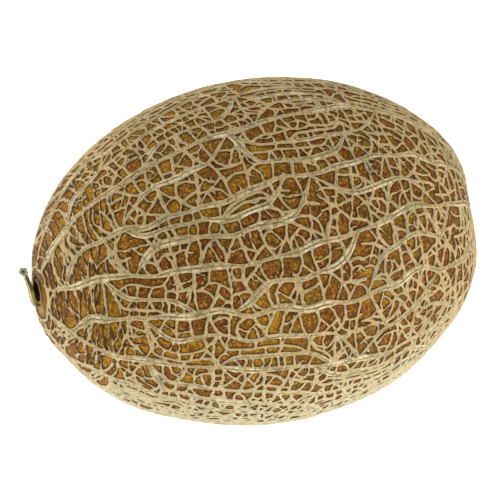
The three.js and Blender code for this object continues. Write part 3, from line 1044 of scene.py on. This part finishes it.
# The stalk: a short, dried and ribbed green stem, bent up out of the scar. Its cut end has dried to a
# knob with a dark pith, and a torn fibre stands off it.
# Its line from inside the scar to the cut end, in mm out, to the side and up from the fruit's stem end
STALK_LINE = (
    (-1.2, -0.6, -4.9),
    (0.5, 0.1, -4.7),
    (1.9, 0.7, -2.2),
    (2.8, 1.1, 2.0),
    (3.7, 1.4, 6.2),
    (5.0, 1.4, 10.2),
    (5.9, 2.0, 12.5),
    (6.7, 4.3, 14.0),
)
STALK_FOOT, STALK_SHAFT, STALK_KNOB = 0.0014, 0.00115, 0.0019
STALK_SIDES = 30
STALK_STEPS = 34
RIB_COUNT, RIB_DEPTH = 5, 0.13
WAIST = 0.00012  # how much thinner the shaft is below the knob
# The cut face's rings: share of its radius, and how far each sinks from the one before
CUT_FACE = ((0.72, 0.0), (0.58, -0.00025), (0.30, -0.0006))
SPIKE = ((6.6, 2.8, 12.6), (9.0, 2.6, 12.8), 0.0011)
SPIKE_ALONG = 0.80  # where on the stalk's finish its colour is taken

bpy.ops.object.select_all(action="DESELECT")
line_data = bpy.data.curves.new("stalk_line", "CURVE")
line_data.dimensions = "3D"
line_data.resolution_u = 24
spline = line_data.splines.new("BEZIER")
spline.bezier_points.add(len(STALK_LINE) - 1)
for point, (out, side, up) in zip(spline.bezier_points, STALK_LINE):
    point.co = STEM_END + np.array([-out, -side, up]) * 0.001
    point.handle_left_type = point.handle_right_type = "AUTO"
line = bpy.data.objects.new("stalk_line", line_data)
bpy.context.collection.objects.link(line)
stalk_length = spline.calc_length()


def stalk_radius(share):
    """The stalk's radius from its foot, at 0, to its cut end, at 1."""
    foot = (STALK_FOOT - STALK_SHAFT) * math.exp(-((share / 0.12) ** 2))
    knob = (STALK_KNOB - STALK_SHAFT) * math.exp(-(((1 - share) / 0.13) ** 2))
    return STALK_SHAFT + foot + knob - WAIST * math.exp(-(((share - 0.80) / 0.06) ** 2))


bpy.ops.mesh.primitive_circle_add(vertices=STALK_SIDES, radius=stalk_radius(0), fill_type="NGON")
stalk = bpy.context.object
stalk.name = stalk.data.name = "dried_stalk"
bpy.ops.object.mode_set(mode="EDIT")
bpy.ops.mesh.select_all(action="SELECT")
rise = stalk_length / STALK_STEPS
for step in range(1, STALK_STEPS + 1):
    bpy.ops.mesh.extrude_region_move(TRANSFORM_OT_translate={"value": (0, 0, rise)})
    share = stalk_radius(step / STALK_STEPS) / stalk_radius((step - 1) / STALK_STEPS)
    bpy.ops.transform.resize(value=(share, share, 1), center_override=(0, 0, step * rise))
for width, sink in CUT_FACE:
    bpy.ops.mesh.extrude_region_move(TRANSFORM_OT_translate={"value": (0, 0, sink)})
    bpy.ops.transform.resize(value=(width, width, 1), center_override=(0, 0, stalk_length))
bpy.ops.mesh.select_all(action="SELECT")
bpy.ops.mesh.normals_make_consistent(inside=False)
bpy.ops.object.mode_set(mode="OBJECT")

places = places_of(stalk)
angle = np.arctan2(places[:, 1], places[:, 0])
along = np.clip(places[:, 2] / stalk_length, 0, 1)
radius = np.hypot(places[:, 0], places[:, 1])
ribs = 1 - RIB_DEPTH * np.cos(RIB_COUNT * angle + 1.5 * along) - 0.03 * np.sin(9 * angle + 11 * along)
wrinkle = 1 + 0.035 * np.sin(46 * along + 2 * np.sin(2 * angle)) * smooth_step(0.75, 0.95, along)
places[:, :2] *= (ribs * wrinkle)[:, None]
move_to(stalk, places)
give(stalk, "along", along)
give(stalk, "facing_x", np.cos(angle))
give(stalk, "facing_y", np.sin(angle))
give(stalk, "radius", radius * 1000)
reshape(stalk, "CURVE", object=line, deform_axis="POS_Z")
reshape(stalk, "SUBSURF", levels=1, render_levels=1)
bpy.data.objects.remove(line)
spike = add_fibre(*SPIKE)
give(spike, "along", np.full(len(spike.data.vertices), SPIKE_ALONG))
join_to(stalk, [spike])
bpy.ops.object.shade_smooth()
give(stalk, "towards_fruit", np.array([vertex.normal.x for vertex in stalk.data.vertices]))

STRAW = (0.47, 0.395, 0.185)
STRAW_PALE = (0.85, 0.76, 0.48)
STALK_OLIVE = (0.27, 0.22, 0.065)
STALK_BROWN = (0.050, 0.028, 0.018)
KNOB_GREY = (0.29, 0.275, 0.165)
PITH_GREEN = (0.050, 0.085, 0.010)
dry_stalk, tree, place = new_finish("dry_stalk")
along_share = carried(tree, "along")
facing_x = carried(tree, "facing_x")
facing_y = carried(tree, "facing_y")
radius_mm = carried(tree, "radius")
streak_ways = {0: facing_x, 1: facing_y, 2: times(tree, along_share, 1.3)}
streak_place = new_node(tree, "CombineXYZ", streak_ways).outputs[0]
streak = grain(tree, streak_place, 1 / 3.2, 5, 0.6)
colour = tinted(tree, between(tree, streak, 0.43, 0.58), STRAW, STALK_OLIVE)
pale_band = times(tree, between(tree, along_share, 0.74, 0.79), between(tree, along_share, 0.87, 0.82))
colour = tinted(tree, times(tree, pale_band, 0.8), colour, STRAW_PALE)
colour = tinted(tree, between(tree, along_share, 0.85, 0.90), colour, KNOB_GREY)
colour = tinted(tree, between(tree, along_share, 0.16, 0.04, 0, 0.85), colour, STALK_BROWN)
face = between(tree, along_share, 0.90, 0.93)
colour = tinted(tree, times(tree, face, between(tree, radius_mm, 0.85, 0.45)), colour, PITH_GREEN)
# Painted shade: the stalk's upper half is painted dark brown on the side that faces the fruit
fruit_side_shade = between(tree, carried(tree, "towards_fruit"), -0.40, 0.0)
upper_half = times(tree, between(tree, along_share, 0.35, 0.5), between(tree, along_share, 0.88, 0.84))
colour = tinted(tree, times(tree, times(tree, fruit_side_shade, upper_half), 0.85), colour, STALK_BROWN)
finish_shader(tree, colour, between(tree, streak, 0.3, 0.7, 0.6, 0.8), streak, 0.0001, 0.2)
stalk.data.materials.append(dry_stalk)
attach(stalk, "root")
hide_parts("stalk")

# The studio: a pale floor that glows softly, so that the melon throws almost no shadow, three soft
# lights round it, and the camera where the photograph was taken from.
bpy.ops.object.select_all(action="DESELECT")
bpy.ops.mesh.primitive_plane_add(size=6, location=(0, 0, GROUND - 0.0001))
floor = bpy.context.object
floor.name = "floor"
floor_white = bpy.data.materials.new("floor")
floor_white.use_nodes = True
shader = floor_white.node_tree.nodes["Principled BSDF"]
shader.inputs["Base Color"].default_value = (0.9, 0.9, 0.9, 1)
shader.inputs["Roughness"].default_value = 0.8
shader.inputs["Emission Color"].default_value = (1, 1, 1, 1)
shader.inputs["Emission Strength"].default_value = 0.95
floor.data.materials.append(floor_white)
floor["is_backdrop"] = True

world = bpy.data.worlds.new("studio")
world.use_nodes = True
glow = world.node_tree.nodes["Background"]
glow.inputs["Color"].default_value = (1, 1, 1, 1)
glow.inputs["Strength"].default_value = 0.76
bpy.context.scene.world = world
bpy.context.scene.view_settings.view_transform = "Standard"

AZIMUTH = math.radians(-21.93)
ELEVATION = math.radians(28)
DISTANCE = 1.3
LENS = 217.3
AIM_SHIFT = (-0.0039, 0.00065, 0)  # to the right and up, in the camera's view
back = Vector(
    (
        math.sin(AZIMUTH) * math.cos(ELEVATION),
        -math.cos(AZIMUTH) * math.cos(ELEVATION),
        math.sin(ELEVATION),
    )
)
turn = back.to_track_quat("Z", "Y")
aim = Vector(BODY_CENTRE) + turn @ Vector(AIM_SHIFT)


def soft_light(name, place, size, power):
    """A round soft light, placed to the right, up and towards the viewer from the melon's middle."""
    data = bpy.data.lights.new(name, "AREA")
    data.shape = "DISK"
    data.size = size
    data.energy = power
    light = bpy.data.objects.new(name, data)
    light.location = aim + turn @ Vector(place)
    light.rotation_euler = (light.location - aim).to_track_quat("Z", "Y").to_euler()
    bpy.context.collection.objects.link(light)


soft_light("top", (-0.4, 1.25, 0.15), 0.9, 6.8)
soft_light("left", (-1.3, 0.25, 0.05), 0.7, 8)
soft_light("right", (1.0, -0.18, 0.45), 0.5, 6.8)

camera_data = bpy.data.cameras.new("camera")
camera_data.lens = LENS
camera_data.clip_end = 20
camera = bpy.data.objects.new("camera", camera_data)
camera.location = aim + back * DISTANCE
camera.rotation_euler = turn.to_euler()
bpy.context.collection.objects.link(camera)
bpy.context.scene.camera = camera

boxes = {"cad": cad_box, "visual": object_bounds()}
{label: [list(corner) for corner in box] for label, box in boxes.items()}
